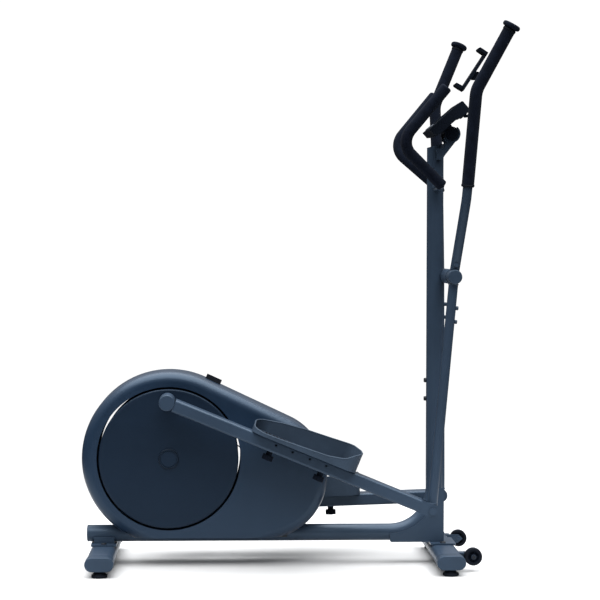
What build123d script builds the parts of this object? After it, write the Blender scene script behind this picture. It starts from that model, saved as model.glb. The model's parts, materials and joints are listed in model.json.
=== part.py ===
from build123d import *
from math import acos, atan2, cos, hypot, pi, radians, sin
import os

# Elliptical trainer: X points forward (the way the rider faces), +Y is the rider's left, +Z up.
# The floor is Z = 0. Lengths are in millimetres.

# Driving dimensions
crank_x = -377
crank_z = 321
disc_radius = 206
disc_gap = 6
pivot_x = 454
pivot_z = 860
swing_length = 683.5
pedal_length = 833.5
right_arm_angle = 5.2
left_arm_angle = -0.3
right_pedal_angle = 22.3
left_pedal_angle = -1.95
mast_x = 418
mast_radius = 25
mast_top = 1250
mast_joint = 470
beam_z = 90
beam_rear = -617
bend_radius = 135
rear_stabiliser_x = -570
front_stabiliser_x = 440
stabiliser_half = 265
stabiliser_z = 39
stabiliser_width = 80
stabiliser_height = 38
housing_half = 82
housing_radius = 257
nose_x = -94
nose_z = 265.5
nose_radius = 187
housing_bottom = 86
shell_wall = 3
flywheel_x = -47
flywheel_z = 247.5
flywheel_radius = 108
belt_y = 42
big_pulley_radius = 130
small_pulley_radius = 15
running_gap = 0.05
slide_gap = 0.15
loose_gap = 0.3


# Helpers
def box(x_range, y_range, z_range):
    size = [high - low for low, high in (x_range, y_range, z_range)]
    middle = [(high + low) / 2 for low, high in (x_range, y_range, z_range)]
    return Pos(*middle) * Box(*size)


def rod(start, end, radius):
    start = Vector(*start)
    end = Vector(*end)
    plane = Plane(origin=start, z_dir=end - start)
    return plane * Cylinder(radius, (end - start).length, align=(Align.CENTER, Align.CENTER, Align.MIN))


def cross_rod(x, z, y_range, radius):
    return rod((x, y_range[0], z), (x, y_range[1], z), radius)


def cross_ring(x, z, y_range, outer, inner):
    return cross_rod(x, z, y_range, outer) - cross_rod(x, z, y_range, inner)


def side_slab(sketch, near, far):
    # A side-view sketch (X, Z) made solid between two distances to the right of the middle plane
    return extrude(Plane.XZ.offset(near) * sketch, amount=far - near)


def swept_tube(points, radii, outer, inner=0):
    path = FilletPolyline(*points, radius=radii)
    start = Vector(*points[0])
    section = Circle(outer)
    if inner:
        section = section - Circle(inner)
    return sweep(Plane(origin=start, z_dir=Vector(*points[1]) - start) * section, path=path)


def both_sides(shape):
    return Compound(children=[shape, mirror(shape, about=Plane.XZ)])


def to_left(shape):
    return mirror(shape, about=Plane.XZ)


def group(shapes):
    return Compound(children=shapes)


nodes = {}


# Base: one bent main tube, two cross feet and the brackets that join them
def base_tube():
    corners = ((beam_rear, 0, beam_z), (mast_x, 0, beam_z), (mast_x, 0, mast_joint))
    tube = swept_tube(corners, bend_radius, mast_radius, mast_radius - 3)
    spigot = rod((mast_x, 0, mast_joint - 60), (mast_x, 0, mast_joint + 110), mast_radius - 3)
    spigot -= rod((mast_x, 0, mast_joint - 60), (mast_x, 0, mast_joint + 110), mast_radius - 6)
    for height in bolt_heights:
        spigot -= rod((mast_x - 30, 0, height), (mast_x, 0, height), 4.2)
    return tube + spigot


bolt_heights = (492, 547)


def front_bracket():
    # Two cheeks fill the corner under the bend and stand on the front cross foot
    front = mast_x - bend_radius
    outline = make_face(
        Polyline((mast_x, beam_z + bend_radius), (mast_x + 27, beam_z + bend_radius), (mast_x + 27, 63),
                 (front, 63), (front, beam_z))
        + RadiusArc((front, beam_z), (mast_x, beam_z + bend_radius), -bend_radius)
    )
    cheek = side_slab(outline, mast_radius, mast_radius + 4)
    cheek = fillet(cheek.edges().filter_by(Axis.Y).sort_by(Axis.Z)[:2], 6)
    front_plate = box((mast_x + 23, mast_x + 27), (-mast_radius, mast_radius), (63, 180))
    return cheek + to_left(cheek) + front_plate


def foot_oval(grow=0):
    return SlotOverall(stabiliser_width + 2 * grow, stabiliser_height + 2 * grow)


def saddle(x):
    plate = box((x - 38, x + 38), (-60, 60), (58, 63))
    plate = fillet(plate.edges().filter_by(Axis.Z), 8)
    for y in (-45, 45):
        plate -= rod((x, y, 50), (x, y, 70), 4.2)
    return plate


def rear_saddle():
    cradle = box((rear_stabiliser_x - 30, rear_stabiliser_x + 30), (-28, 28), (63, beam_z - 8))
    cradle -= rod((-700, 0, beam_z), (-400, 0, beam_z), mast_radius)
    return saddle(rear_stabiliser_x) + cradle


def stabiliser(x):
    tube = side_slab(Pos(x, stabiliser_z) * foot_oval(), -(stabiliser_half - 4), stabiliser_half - 4)
    tube -= side_slab(Pos(x, stabiliser_z) * foot_oval(-2.5), -stabiliser_half, stabiliser_half)
    for y in (-45, 45):
        tube -= rod((x, y, stabiliser_z), (x, y, 70), 4.2)
    for y in (-foot_y, foot_y):
        tube -= rod((x, y, 0), (x, y, stabiliser_z), 6)
    return tube


foot_y = 240


def stabiliser_cap(x, side):
    outer = side_slab(Pos(x, stabiliser_z) * foot_oval(1.8), stabiliser_half - 46, stabiliser_half)
    outer = fillet(outer.faces().sort_by(Axis.Y)[0].edges(), 3)
    outer -= side_slab(Pos(x, stabiliser_z) * foot_oval(), stabiliser_half - 50, stabiliser_half - 4)
    outer -= rod((x, -foot_y, 0), (x, -foot_y, stabiliser_z), 4 + running_gap)
    return outer if side < 0 else to_left(outer)


def beam_cap():
    plug = rod((beam_rear, 0, beam_z), (beam_rear + 14, 0, beam_z), mast_radius - 3.2)
    head = rod((beam_rear - 5, 0, beam_z), (beam_rear, 0, beam_z), mast_radius)
    return plug + fillet(head.edges().sort_by(Axis.X)[0], 4)


def carriage_bolt(x, y):
    head = rod((x, y, 63), (x, y, 67), 9)
    return fillet(head.edges().sort_by(Axis.Z)[-1], 3) + rod((x, y, 44), (x, y, 63), 4)


def mast_bolt(height):
    back = mast_x - mast_radius
    head = rod((back - 5.5, 0, height), (back, 0, height), 7)
    head = fillet(head.edges().sort_by(Axis.X)[0], 2)
    return head + rod((back, 0, height), (back + 16, 0, height), 4)


def levelling_foot(x, y):
    pad = Pos(x, y, 0) * Cylinder(23, 8, align=(Align.CENTER, Align.CENTER, Align.MIN))
    pad = fillet(pad.edges().sort_by(Axis.Z)[0], 2)
    pad += Pos(x, y, 8) * Cone(21, 13, 8.7, align=(Align.CENTER, Align.CENTER, Align.MIN))
    return pad + rod((x, y, 10), (x, y, 34), 4)


# Transport wheels in front of the front cross foot
wheel_x = 514
wheel_z = 43
wheel_y = 172


def wheel():
    body = cross_ring(wheel_x, wheel_z, (-wheel_y - 11, -wheel_y + 11), 26, 4 + running_gap)
    return fillet(body.edges().filter_by(GeomType.CIRCLE).group_by(SortBy.RADIUS)[-1], 3)


def wheel_bracket():
    # One ear carries the wheel on its outer side, under a short bent-over flange
    reach = front_stabiliser_x + 22
    ear = make_face(Polyline((reach, 30), (wheel_x - 2, 30), (wheel_x + 12, 43), (wheel_x, 56),
                             (reach, 56), (reach, 30)))
    bracket = side_slab(ear, wheel_y - 16, wheel_y - 12.5)
    bracket += box((reach, reach + 4), (-wheel_y - 12, -wheel_y + 16), (30, 56))
    bracket += box((reach, wheel_x - 28), (-wheel_y - 12, -wheel_y + 16), (53, 56))
    bracket -= side_slab(Pos(front_stabiliser_x, stabiliser_z) * foot_oval(0.1), 100, 260)
    axle = cross_rod(wheel_x, wheel_z, (-wheel_y - 15, -wheel_y + 19), 4)
    for near, far in ((-wheel_y - 15, -wheel_y - 11.5), (-wheel_y + 16, -wheel_y + 19)):
        axle += cross_rod(wheel_x, wheel_z, (near, far), 7)
    return bracket + axle


# Mast: upper tube sleeved on the base post, with the cross tube that carries the arms
def mast():
    tube = rod((mast_x, 0, mast_joint), (mast_x, 0, mast_top + 14), mast_radius)
    tube -= rod((mast_x, 0, mast_joint - 1), (mast_x, 0, mast_top + 9), mast_radius - 3)
    slope = Pos(mast_x, 0, mast_top) * Rot(0, -14, 0) * Pos(0, 0, 40) * Box(120, 80, 80)
    tube = tube - slope + (rod((mast_x, 0, mast_top - 20), (mast_x, 0, mast_top - 17), mast_radius - 3))
    tube -= cross_rod(pivot_x, pivot_z, (-60, 60), pivot_tube_radius)
    for height in bolt_heights:
        tube -= rod((mast_x - 40, 0, height), (mast_x, 0, height), 4.2)
    return tube


pivot_tube_radius = 22
pivot_tube_half = 148
shaft_radius = 10
shaft_half = 196


def pivot_tube():
    bore = shaft_radius + 8
    tube = cross_ring(pivot_x, pivot_z, (-pivot_tube_half, pivot_tube_half), pivot_tube_radius, bore)
    for low, high in ((-pivot_tube_half, -pivot_tube_half + 20), (pivot_tube_half - 20, pivot_tube_half)):
        tube += cross_ring(pivot_x, pivot_z, (low, high), shaft_radius + 8, shaft_radius)
    return tube


def pivot_shaft():
    return cross_rod(pivot_x, pivot_z, (-shaft_half, shaft_half), shaft_radius)


# Fixed handlebars: a bent bar on each side of the mast inside a foam sleeve
bar_root = (mast_x + 6, 8, 1122)
bar_join = (mast_x + 28, 50, 1116)
bar_bend = (300, 122, 1251)
bar_end = (429, 150, 1407)
bar_radius = 12.5
grip_radius = 17


def along(start, end, distance):
    start = Vector(*start)
    return tuple(start + (Vector(*end) - start).normalized() * distance)


def fixed_bar(side):
    points = [(x, side * y, z) for x, y, z in (bar_root, bar_join, bar_bend, bar_end)]
    bar = swept_tube(points, (18, 55), bar_radius, bar_radius - 2)
    return bar - rod((mast_x, 0, 1100), (mast_x, 0, 1200), mast_radius)


def fixed_grip(side):
    points = [(x, side * y, z) for x, y, z in (along(bar_join, bar_bend, 22), bar_bend, bar_end)]
    end = along(bar_bend, bar_end, (Vector(*bar_end) - Vector(*bar_bend)).length + 9)
    end = (end[0], side * end[1], end[2])
    sleeve = swept_tube(points, 55, grip_radius) - swept_tube(points, 55, bar_radius)
    plug = rod(points[2], end, grip_radius)
    return sleeve + fillet(plug.edges().sort_by(Axis.Z)[-1], 7)


def wrapped_outline(big, small):
    # Outline of a band pulled round two circles, each given as x, z and radius
    (big_x, big_z, big_radius), (small_x, small_z, small_radius) = big, small
    slope = atan2(small_z - big_z, small_x - big_x)
    spread = acos((big_radius - small_radius) / hypot(small_x - big_x, small_z - big_z))

    def on_big(angle):
        return big_x + big_radius * cos(angle), big_z + big_radius * sin(angle)

    def on_small(angle):
        return small_x + small_radius * cos(angle), small_z + small_radius * sin(angle)

    upper = Line(on_big(slope + spread), on_small(slope + spread))
    front = ThreePointArc(on_small(slope + spread), on_small(slope), on_small(slope - spread))
    lower = Line(on_small(slope - spread), on_big(slope - spread))
    back = ThreePointArc(on_big(slope - spread), on_big(slope + pi), on_big(slope + spread))
    return make_face(upper + front + lower + back)


# Housing around the drive
def housing_solid(grow, edge):
    outline = wrapped_outline((crank_x, crank_z, housing_radius + grow), (nose_x, nose_z, nose_radius + grow))
    block = side_slab(outline, 0, housing_half + grow)
    block -= box((-800, 300), (-200, 200), (0, housing_bottom - grow))
    rim = [e for e in block.faces().sort_by(Axis.Y)[0].edges() if e.geom_type != GeomType.LINE
           or abs(e.center().Z - housing_bottom) > 40]
    return fillet(rim, edge)


def half_shell():
    shell = housing_solid(0, 30) - housing_solid(-shell_wall, 27)
    shell -= cross_rod(crank_x, crank_z, (-120, -20), disc_radius + disc_gap)
    lip = cross_ring(crank_x, crank_z, (-housing_half, -housing_half + 16), disc_radius + disc_gap + 3,
                     disc_radius + disc_gap)
    beam_slot = box((-800, 300), (-mast_radius - 6, 1), (0, beam_z + mast_radius + 1))
    return shell + lip - beam_slot - housing_tag()


def left_shell():
    shell = to_left(half_shell())
    for x, z in screw_places:
        shell -= cross_rod(x, z, (40, 100), 2.6)
    return shell


screw_places = ((50, 265), (-10, 400), (-90, 100))


def shell_screw(x, z):
    head = cross_rod(x, z, (housing_half, housing_half + 2.2), 4.6)
    return head + cross_rod(x, z, (housing_half - 12, housing_half), 2.4)


def housing_tag():
    # A small plain tag stands in the top seam
    tag = Box(48, 2.4, 21)
    tag = fillet(tag.edges().filter_by(Axis.Y), 1.5)
    seam_slope = 24.4
    return Pos(tag_x, 0, tag_z) * Rot(0, seam_slope, 0) * tag


tag_x = -246
tag_z = 548


# Drive inside the housing
def drive_support():
    hub = cross_ring(crank_x, crank_z, (-34, 34), 25, 20)
    post = box((crank_x - 20, crank_x + 20), (-20, 20), (beam_z + 10, crank_z - 15))
    post -= rod((-700, 0, beam_z), (100, 0, beam_z), mast_radius)
    post -= cross_rod(crank_x, crank_z, (-40, 40), 24)
    support = hub + post
    cheek = box((flywheel_x - 22, flywheel_x + 22), (-30, -26), (beam_z - 10, flywheel_z))
    cheek += cross_rod(flywheel_x, flywheel_z, (-30, -26), 22)
    cheek -= cross_rod(flywheel_x, flywheel_z, (-40, -20), 13)
    foot = box((flywheel_x - 22, flywheel_x + 22), (-30, 0), (beam_z + 10, beam_z + mast_radius + 4))
    foot -= rod((-700, 0, beam_z), (100, 0, beam_z), mast_radius)
    cheek += foot
    magnet_post = box((magnet_pivot_x - 9, magnet_pivot_x + 9), (-30, -26), (flywheel_z, magnet_pivot_z + 9))
    idler_post = box((idler_pivot_x - 8, idler_pivot_x + 8), (26, 30), (beam_z - 10, idler_pivot_z + 8))
    idler_post -= cross_rod(idler_pivot_x, idler_pivot_z, (20, 40), 5)
    magnet_post -= cross_rod(magnet_pivot_x, magnet_pivot_z, (-40, -20), 5)
    magnet_post -= cross_rod(flywheel_x, flywheel_z, (-40, -20), 13)
    return group([support, cheek + magnet_post + to_left(cheek), idler_post])


magnet_pivot_x = flywheel_x + (flywheel_radius + 14) * cos(radians(100))
magnet_pivot_z = flywheel_z + (flywheel_radius + 14) * sin(radians(100))
idler_pivot_x = -150
idler_pivot_z = 150


def bearings():
    rings = []
    for low, high in ((-34, -22), (22, 34)):
        rings.append(cross_ring(crank_x, crank_z, (low, high), 20, shaft_radius + running_gap))
    for low, high in ((-32, -24), (24, 32)):
        rings.append(cross_ring(flywheel_x, flywheel_z, (low, high), 13, 6 + running_gap))
    return group(rings)


def crank_axle():
    return cross_rod(crank_x, crank_z, (-78, 78), shaft_radius)


def crank_pulley():
    wheel_body = cross_ring(crank_x, crank_z, (belt_y - 7, belt_y + 7), big_pulley_radius, shaft_radius)
    for low, high in ((belt_y - 8, belt_y - 3), (belt_y + 3, belt_y + 8)):
        wheel_body -= cross_ring(crank_x, crank_z, (low, high), big_pulley_radius - 10, 26)
    return wheel_body


def crank_disc():
    disc = cross_rod(crank_x, crank_z, (-85, -61), disc_radius)
    disc = fillet(disc.edges().sort_by(Axis.Y)[0], 5)
    disc -= cross_ring(crank_x, crank_z, (-81, -60), disc_radius - 4, 24)
    return disc - cross_rod(crank_x, crank_z, (-78, -50), shaft_radius)


def disc_cap():
    cap = cross_rod(crank_x, crank_z, (-89, -85), 30)
    cap = fillet(cap.edges().sort_by(Axis.Y)[0], 2.5)
    return cap - cross_ring(crank_x, crank_z, (-90, -86.5), 25, 22.5)


def flywheel():
    rim = cross_ring(flywheel_x, flywheel_z, (-16, 16), flywheel_radius, 74)
    web = cross_rod(flywheel_x, flywheel_z, (-5, 5), 74)
    hub = cross_rod(flywheel_x, flywheel_z, (-20, 20), 20)
    axle = cross_rod(flywheel_x, flywheel_z, (-36, belt_y + 10), 6)
    pulley = cross_rod(flywheel_x, flywheel_z, (belt_y - 7, belt_y + 7), small_pulley_radius)
    return rim + web + hub + axle + pulley


def drive_belt():
    def loop(extra):
        return wrapped_outline((crank_x, crank_z, big_pulley_radius + extra),
                               (flywheel_x, flywheel_z, small_pulley_radius + extra))

    belt = loop(loose_gap + 2.5) - loop(loose_gap)
    return extrude(Plane.XZ.offset(-belt_y - 6) * belt, amount=12)


def idler_arm():
    tip_x, tip_z = idler_place
    arm = make_hull((Pos(idler_pivot_x, idler_pivot_z) * Circle(10)).edges()
                    + (Pos(tip_x, tip_z) * Circle(9)).edges())
    plate = extrude(Plane.XZ.offset(-34) * arm, amount=3)
    bolt = cross_rod(idler_pivot_x, idler_pivot_z, (21, 34), 5 - running_gap)
    stub = cross_rod(tip_x, tip_z, (34, belt_y + 8), 4)
    return plate + bolt + stub


idler_place = (-190, 192)


def idler_pulley():
    x, z = idler_place
    return cross_ring(x, z, (belt_y - 7, belt_y + 7), 18, 4 + running_gap)


def magnet_bracket():
    inner = flywheel_radius + 5
    arc_band = Pos(flywheel_x, flywheel_z) * (Circle(inner + 4) - Circle(inner))
    window = make_face(Polyline((flywheel_x, flywheel_z), (flywheel_x + 300, flywheel_z + 80),
                                (flywheel_x + 300, flywheel_z + 400),
                                (magnet_pivot_x - 40, magnet_pivot_z + 250),
                                (flywheel_x, flywheel_z)))
    band = side_slab(arc_band & window, -14, 14)
    lug = side_slab(Pos(magnet_pivot_x, magnet_pivot_z) * Circle(9), -14, 25)
    lug -= side_slab(Pos(flywheel_x, flywheel_z) * Circle(inner), -20, 30)
    blocks = [band + lug + cross_rod(magnet_pivot_x, magnet_pivot_z, (-31, 0), 5 - running_gap)]
    for angle in (27, 42, 57, 72):
        place = Pos(flywheel_x, 0, flywheel_z) * Rot(0, -angle, 0)
        block = place * Pos(flywheel_radius + 3, 0, 0) * Box(3.5, 22, 24)
        blocks.append(block - cross_ring(flywheel_x, flywheel_z, (-20, 20), flywheel_radius + 20,
                                         flywheel_radius + 5))
    return group(blocks)


# Swing arms, drawn upright around their pivot on the right side and then turned into place
arm_y = -175
arm_radius = 14
hub_y_range = (-199, -150)


def lower_arm():
    hub = cross_rod(0, 0, hub_y_range, 21)
    link = rod((0, arm_y, 0), (0, arm_y, -swing_length), arm_radius)
    socket = rod(bar_points[0], along(bar_points[0], bar_points[1], 28), arm_radius - 2.2)
    eye = cross_rod(0, -swing_length, (-192, -158), 21)
    arm = hub + link + socket + eye
    arm -= cross_rod(0, 0, (-196.5, -140), shaft_radius + running_gap)
    arm -= cross_rod(0, -swing_length, (-200, -150), 7 + running_gap)
    for height in front_bolts:
        arm -= rod((0, arm_y, height), (30, arm_y, height), 4)
    return arm


front_bolts = (-90, -130)
bar_points = ((0, arm_y, 20.5), (5.8, -245, 226), (-1.5, -290, 533), (75, -310, 715))
sleeve_radius = 18
grip_offset = 35


def handlebar():
    bar = swept_tube(bar_points, (250, 75), arm_radius, arm_radius - 2)
    return bar - cross_rod(0, 0, hub_y_range, 21.1)


def hand_grip():
    points = (along(bar_points[1], bar_points[2], grip_offset), bar_points[2], bar_points[3])
    sleeve = swept_tube(points, 75, sleeve_radius) - swept_tube(points, 75, arm_radius)
    tip = along(points[1], points[2], (Vector(*points[2]) - Vector(*points[1])).length + 14)
    cap = rod(points[2], tip, 26)
    return group([sleeve, fillet(cap.edges().filter_by(GeomType.CIRCLE), 6)])


def arm_hardware():
    cap = cross_rod(0, 0, (-203, -199), 21)
    parts = [fillet(cap.edges().sort_by(Axis.Y)[0], 3)]
    bolt_place = along(bar_points[0], bar_points[1], 16)
    bolt = cross_rod(bolt_place[0], bolt_place[2], (bolt_place[1] - 21, bolt_place[1] - 10), 5.5)
    parts.append(bolt - rod(bar_points[0], bar_points[1], arm_radius + 0.1))
    for height in front_bolts:
        head = rod((arm_radius, arm_y, height), (arm_radius + 5.5, arm_y, height), 6)
        parts.append(head + rod((4, arm_y, height), (arm_radius, arm_y, height), 3.9))
    return group(parts)


# Pedal bars, drawn level from the crank pin forward and then turned into place
bar_y_range = (-200, -140)
bar_half_height = 18.5
fork_start = pedal_length - 38
knob_places = (331, 491)
hole_places = (339, 390.5, 444.5, 496)


def pedal_bar():
    section = fillet(Rectangle(60, 37).vertices(), 7) - fillet(Rectangle(55, 32).vertices(), 5)
    middle_y = sum(bar_y_range) / 2
    hub_face = Plane(origin=(22, middle_y, 0), x_dir=(0, 1, 0), z_dir=(1, 0, 0))
    tube = extrude(hub_face * section, amount=fork_start - 22)
    hub = cross_rod(0, 0, (-196, -118), 23.5)
    end_wall = box((fork_start - 4, fork_start), (-198, -142), (-17, 17))
    bar = tube - cross_rod(0, 0, (-200, -100), 23.5) + hub + end_wall
    bar -= cross_rod(0, 0, (-200, -100), shaft_radius)
    for near, far in ((151, 157), (193, 199)):
        ear = make_hull((Pos(pedal_length, 0) * Circle(18.5)).edges()
                        + (Pos(fork_start - 1, 0) * Rectangle(6, 37)).edges())
        bar += side_slab(ear, near, far)
    bar -= cross_rod(pedal_length, 0, (-210, -140), 7)
    for x in knob_places:
        bar -= rod((x, middle_y, -30), (x, middle_y, 30), 4 + running_gap)
    for x in hole_places:
        bar -= cross_rod(x, 6, (-205, -190), 3.5)
    return bar


def crank_pin():
    # The pin stops just short of the turning disc
    pin = cross_rod(0, 0, (-196, -85.5), shaft_radius)
    cap = cross_rod(0, 0, (-201, -196), 23)
    collar = cross_ring(0, 0, (-118, -90), 15, shaft_radius)
    return pin + fillet(cap.edges().sort_by(Axis.Y)[0], 3) + collar


def fork_bolt():
    bolt = cross_rod(pedal_length, 0, (-199, -151), 7)
    for near, far in ((-204.5, -199), (-151, -145.5)):
        bolt += cross_rod(pedal_length, 0, (near, far), 11)
    return bolt


foot_start = 259
foot_end = 582
rim_stations = (254, 300, 340, 410, 485, 535, 560, 587)
outer_rim = (8, 8, 8.5, 12, 16, 26.5, 45, 62)
inner_rim = (34, 40, 48.5, 57, 62, 65.5, 66.5, 60)


def rim_face(heights, y):
    # Everything above one rim line, at one side of the foot plate
    top = bar_half_height + 90
    points = [(x, bar_half_height + height) for x, height in zip(rim_stations, heights)]
    points += [(rim_stations[-1], top), (rim_stations[0], top), points[0]]
    return Plane.XZ.offset(-y) * make_face(Polyline(*points))


def foot_plate():
    middle_x = (foot_start + foot_end) / 2
    length = foot_end - foot_start
    outer = fillet(Rectangle(length, 135).vertices(), 44)
    inner = offset(outer, -3.2)
    place = Plane(origin=(middle_x, -167.5, bar_half_height + slide_gap))
    tray = extrude(place * outer, amount=72) - extrude(Pos(0, 0, 5) * place * inner, amount=72)
    # The rim stays low outside and behind, and climbs along the inner side and round the toe
    return tray - loft([rim_face(outer_rim, -240), rim_face(inner_rim, -95)], ruled=True)


def knob(place_x):
    middle_y = sum(bar_y_range) / 2
    bottom = -bar_half_height
    stem = rod((place_x, middle_y, bottom - 12), (place_x, middle_y, bar_half_height - 0.5), 4)
    neck = rod((place_x, middle_y, bottom - 14), (place_x, middle_y, bottom - 0.2), 9)
    head = rod((place_x, middle_y, bottom - 27), (place_x, middle_y, bottom - 13), 16)
    for turn in range(6):
        angle = radians(60 * turn)
        head -= rod((place_x + 19 * cos(angle), middle_y + 19 * sin(angle), bottom - 40),
                    (place_x + 19 * cos(angle), middle_y + 19 * sin(angle), bottom), 5)
    return stem + neck + head


# Console: a wedge on a barrel hinge, tilted towards the rider
console_tilt = 41
barrel_x = 462
barrel_z = 1284
barrel_radius = 19
console_half = 98
console_low = -48
console_high = 80
face_z = 55


def console_frame():
    # Console axes: x runs up the slope of the face, z is square to it; the origin is the barrel centre
    return Pos(barrel_x, 0, barrel_z) * Rot(0, -console_tilt, 0)


def tilted_slab(points, half):
    outline = make_face(Polyline(*points, points[0]))
    return console_frame() * extrude(Plane.XZ.offset(-half) * outline, amount=2 * half)


def console_shell(wall):
    # Side outline of the rear shell, drawn again one wall thickness inside for the hollow
    low = console_low + wall
    high = console_high - wall
    top = face_z - 4 + (1 if wall else 0)
    points = ((low, top), (high, top), (high, 19 + wall), (50 - wall, 19 + wall), (38 - wall, 24 + wall),
              (-34, 24 + wall), (low, 34 + wall))
    return tilted_slab(points, console_half - wall)


def console_back():
    # The barrel sits between the bracket cheeks, with a disc outside each of them
    barrel = cross_rod(barrel_x, barrel_z, (-30, 30), barrel_radius)
    riser = ((-11, 0), (13, 0), (16, 27), (-14, 27))
    barrel += tilted_slab(riser, 30)
    for near, far in ((-47, -39.5), (39.5, 47)):
        barrel += cross_rod(barrel_x, barrel_z, (near, far), barrel_radius + 2)
    barrel += tilted_slab(riser, 47) - tilted_slab(riser, 39.5)
    body = console_shell(0) + barrel - console_shell(3.5)
    return body - cross_rod(barrel_x, barrel_z, (-43, 43), 6 + running_gap)


def console_face():
    low = face_z - 4
    face = tilted_slab(((console_low, low), (console_high, low),
                        (console_high, face_z), (console_low, face_z)),
                       console_half)
    face = chamfer(face.edges().filter_by(Axis.Y).sort_by(Axis.Z)[-1], 3)
    window = ((-16, low - 1), (68, low - 1), (68, face_z + 1), (-16, face_z + 1))
    face -= tilted_slab(window, console_half - 14)
    for y in button_places:
        face -= console_frame() * Pos(button_x, y, face_z) * Cylinder(9.4, 20)
    return face


def console_screen():
    low = face_z - 4
    return tilted_slab(((-16, low), (68, low), (68, face_z - 1), (-16, face_z - 1)), console_half - 14)


button_places = (-44, 0, 44)
button_x = -33


def button(y):
    return console_frame() * Pos(button_x, y, face_z - 1.7) * Cylinder(9, 9)


def console_bracket():
    # Two cheeks welded to the front of the mast hold the barrel in their hooked ends
    hook = side_slab(Pos(barrel_x, barrel_z) * Circle(27), 32, 38)
    hook -= tilted_slab(((-60, 4), (60, 4), (60, 60), (-60, 60)), 50)
    leg = make_face(Polyline((mast_x, 1206), (mast_x + 16, 1206), (mast_x + 24, 1219),
                             (barrel_x + 14, barrel_z - 21), (barrel_x - 12, barrel_z - 19),
                             (mast_x + 18, 1240), (mast_x, 1240), (mast_x, 1206)))
    cheek = hook + (side_slab(leg, 32, 38) - cross_rod(barrel_x, barrel_z, (-60, 60), 24))
    strap = box((mast_x, mast_x + 16), (-38, 38), (1206, 1212))
    strap += box((mast_x, mast_x + 16), (-38, 38), (1230, 1236))
    strap -= rod((mast_x, 0, 1150), (mast_x, 0, 1300), mast_radius)
    return cheek + to_left(cheek) + strap + cross_rod(barrel_x, barrel_z, (-42, 42), 6)


# Tablet holder above the console
holder_x = 551
holder_z = 1460
rail_low = (492, 1418)
rail_slope = 57
rail_length = 125
jaw_half = 30


def holder_frame():
    return Pos(rail_low[0], 0, rail_low[1]) * Rot(0, -rail_slope, 0)


def holder_slab(points, half):
    outline = make_face(Polyline(*points, points[0]))
    return holder_frame() * extrude(Plane.XZ.offset(-half) * outline, amount=2 * half)


def tablet_stem():
    foot = tilted_slab(((console_high - 24, 19), (console_high - 2, 19), (console_high - 2, 14),
                        (console_high - 24, 14)), 16)
    start = (console_frame() * Pos(console_high - 13, 0, 14)).position
    bend = (console_frame() * Pos(console_high + 2, 0, 4)).position
    stem = swept_tube((tuple(start), tuple(bend), (holder_x, 0, holder_z)), 7, 4.5)
    eye = cross_rod(holder_x, holder_z, (-9, 9), 8)
    return foot + stem + eye + cross_rod(holder_x, holder_z, (-17, 17), 4)


def tablet_rail():
    rail = holder_slab(((0, 0), (rail_length, 0), (rail_length, -9), (0, -9)), 26)
    jaw = holder_slab(((0, 0), (10, 0), (8, 22), (4, 24), (0, 20)), jaw_half)
    slot = holder_slab(((60, -2), (rail_length + 1, -2), (rail_length + 1, -7), (60, -7)), 20)
    ears = []
    for low, high in ((-16, -10), (10, 16)):
        ear = make_hull((Pos(holder_x, holder_z) * Circle(9)).edges()
                        + (Pos(*ear_root) * Rectangle(8, 24)).edges())
        ears.append(extrude(Plane.XZ.offset(-high) * ear, amount=high - low))
    rail_zone = holder_slab(((-5, 40), (rail_length, 40), (rail_length, -8), (-5, -8)), 30)
    body = rail + jaw - slot + (ears[0] - rail_zone) + (ears[1] - rail_zone)
    return body - cross_rod(holder_x, holder_z, (-30, 30), 4 + running_gap)


ear_root = (holder_x - 20, holder_z)


def tablet_jaw():
    tongue = holder_slab(((64, -2.3), (rail_length + 2, -2.3), (rail_length + 2, -6.7), (64, -6.7)), 19.7)
    top = rail_length + 1
    head = holder_slab(((top, -9), (top + 9, -8), (top + 9, 20), (top + 4, 24), (top, 20)), jaw_half)
    return tongue + head


# Assembly
def place_arm(shape, side):
    angle = right_arm_angle if side < 0 else left_arm_angle
    shape = shape if side < 0 else to_left(shape)
    return Pos(pivot_x, 0, pivot_z) * Rot(0, angle, 0) * shape


def place_pedal(shape, side):
    angle = radians(right_arm_angle if side < 0 else left_arm_angle)
    tilt = right_pedal_angle if side < 0 else left_pedal_angle
    eye_x = pivot_x - swing_length * sin(angle)
    eye_z = pivot_z - swing_length * cos(angle)
    shape = shape if side < 0 else to_left(shape)
    return Pos(eye_x, 0, eye_z) * Rot(0, tilt, 0) * Pos(-pedal_length, 0, 0) * shape


nodes["base_tube"] = base_tube()
nodes["frame_brackets"] = group([front_bracket(), rear_saddle(), saddle(front_stabiliser_x)])
nodes["rear_stabiliser"] = stabiliser(rear_stabiliser_x)
nodes["front_stabiliser"] = stabiliser(front_stabiliser_x)
corners = [(x, side) for x in (rear_stabiliser_x, front_stabiliser_x) for side in (-1, 1)]
nodes["end_caps"] = group([stabiliser_cap(x, side) for x, side in corners] + [beam_cap()])
bolts = [carriage_bolt(x, y) for x in (rear_stabiliser_x, front_stabiliser_x) for y in (-45, 45)]
bolts += [mast_bolt(height) for height in bolt_heights]
nodes["fasteners"] = group(bolts + [shell_screw(x, z) for x, z in screw_places])
for x, side in corners:
    end = "rear" if x == rear_stabiliser_x else "front"
    nodes[f"foot_{end}_{'right' if side < 0 else 'left'}"] = levelling_foot(x, side * foot_y)
nodes["wheel_brackets"] = both_sides(wheel_bracket())
nodes["wheel_right"] = wheel()
nodes["wheel_left"] = to_left(wheel())
nodes["mast"] = mast()
nodes["pivot_tube"] = pivot_tube()
nodes["pivot_shaft"] = pivot_shaft()
nodes["fixed_bars"] = group([fixed_bar(-1), fixed_bar(1)])
nodes["fixed_grips"] = group([fixed_grip(-1), fixed_grip(1)])
nodes["housing_right"] = half_shell()
nodes["housing_left"] = left_shell()
nodes["housing_tag"] = housing_tag()
nodes["drive_support"] = drive_support()
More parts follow.
